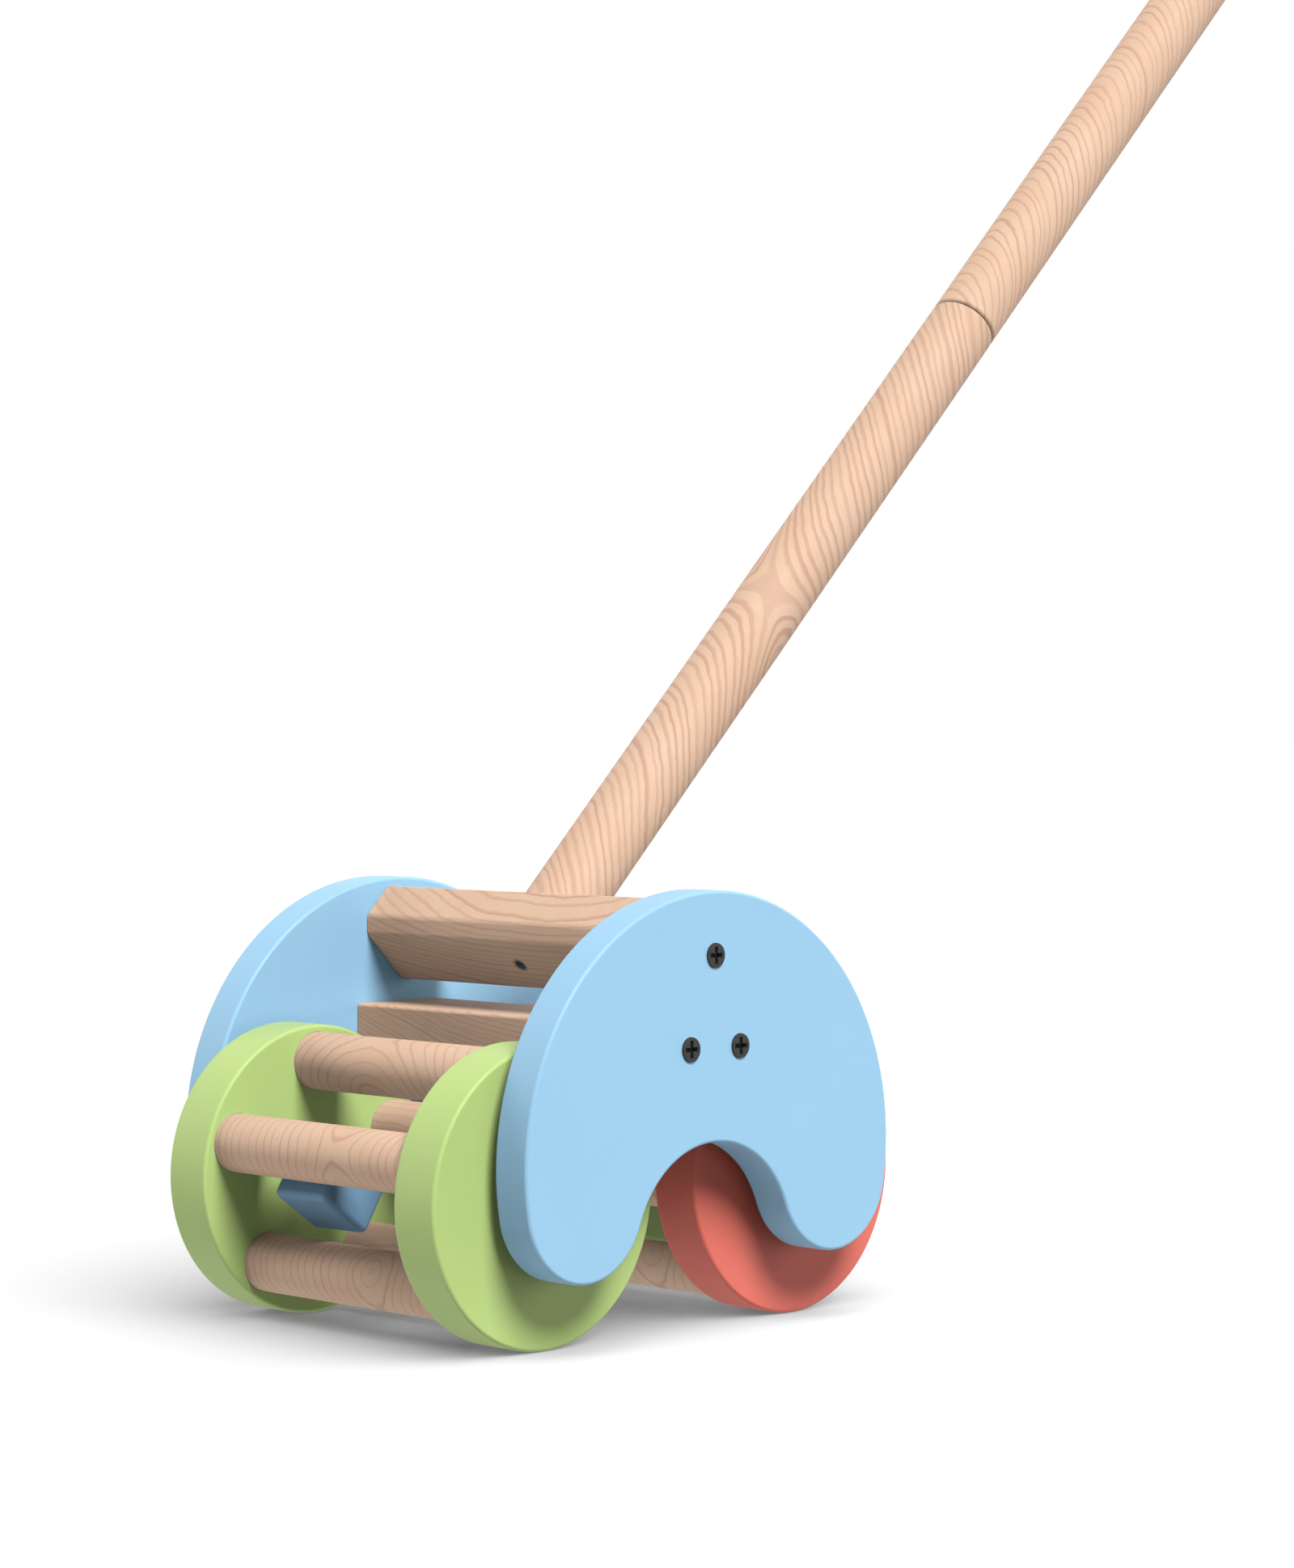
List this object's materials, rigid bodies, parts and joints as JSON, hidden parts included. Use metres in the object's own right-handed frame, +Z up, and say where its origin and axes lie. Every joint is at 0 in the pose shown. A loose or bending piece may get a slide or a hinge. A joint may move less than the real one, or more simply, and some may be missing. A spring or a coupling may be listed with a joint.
{
  "type": "toddler push toy",
  "caption": "Wooden push toy: rolling drums with caged loose cubes under arched blue sides, and a long round handle that leans back.",
  "frame": {"origin": "on the floor, under the middle of the whole toy's box, midway between the two sides", "axes": "+X forward, the way the toy is pushed; +Y to the left of the child who pushes, along the drums' axles; +Z up"},
  "size_m": [0.4732, 0.1394, 0.4871],
  "materials": {
    "blue_paint": "satin light blue paint on wood",
    "green_paint": "satin light green paint on wood",
    "coral_paint": "satin coral red paint on wood",
    "cube_blue_paint": "satin mid blue paint on wood",
    "cube_green_paint": "satin green paint on wood",
    "bare_wood": "smooth clear-sealed pale wood with fine growth rings",
    "black_steel": "black oxide steel",
    "grey_steel": "zinc-plated steel",
    "pale_plastic": "plain nylon"
  },
  "bodies": {
    "chassis": {"side_panel_left": "blue_paint", "side_panel_right": "blue_paint", "upper_screw_left": "black_steel", "front_screw_left": "black_steel", "back_screw_left": "black_steel", "upper_screw_right": "black_steel", "front_screw_right": "black_steel", "back_screw_right": "black_steel", "handle_block": "bare_wood", "cross_bar": "bare_wood", "handle_lower": "bare_wood", "handle_upper": "bare_wood", "handle_joiner": "grey_steel", "handle_bolt": "grey_steel", "front_axle_left": "bare_wood", "front_axle_right": "bare_wood", "back_axle_left": "bare_wood", "back_axle_right": "bare_wood", "front_washer_left": "pale_plastic", "front_washer_right": "pale_plastic", "back_washer_left": "pale_plastic", "back_washer_right": "pale_plastic"},
    "front_drum": {"front_disc_left": "green_paint", "front_disc_right": "green_paint", "front_dowel_1": "bare_wood", "front_dowel_2": "bare_wood", "front_dowel_3": "bare_wood", "front_dowel_4": "bare_wood", "front_dowel_5": "bare_wood"},
    "back_drum": {"back_disc_left": "coral_paint", "back_disc_right": "coral_paint", "back_dowel_1": "bare_wood", "back_dowel_2": "bare_wood", "back_dowel_3": "bare_wood", "back_dowel_4": "bare_wood", "back_dowel_5": "bare_wood"},
    "front_loose_cube": {"front_cube": "cube_blue_paint"},
    "back_loose_cube": {"back_cube": "cube_green_paint"}
  },
  "joints": [
    {"name": "front_drum_spin", "type": "hinge", "parent": "chassis", "child": "front_drum", "pos_m": [0.19661, 0, 0.04], "axis": [0, 1, 0], "continuous": true},
    {"name": "back_drum_spin", "type": "hinge", "parent": "chassis", "child": "back_drum", "pos_m": [0.10031, 0, 0.04], "axis": [0, 1, 0], "continuous": true},
    {"name": "front_cube_slide", "type": "slide", "parent": "front_drum", "child": "front_loose_cube", "axis": [0, 1, 0], "range_m": [-0.0108, 0.0438]},
    {"name": "back_cube_slide", "type": "slide", "parent": "back_drum", "child": "back_loose_cube", "axis": [0, 1, 0], "range_m": [-0.0462, 0.0102]}
  ]
}
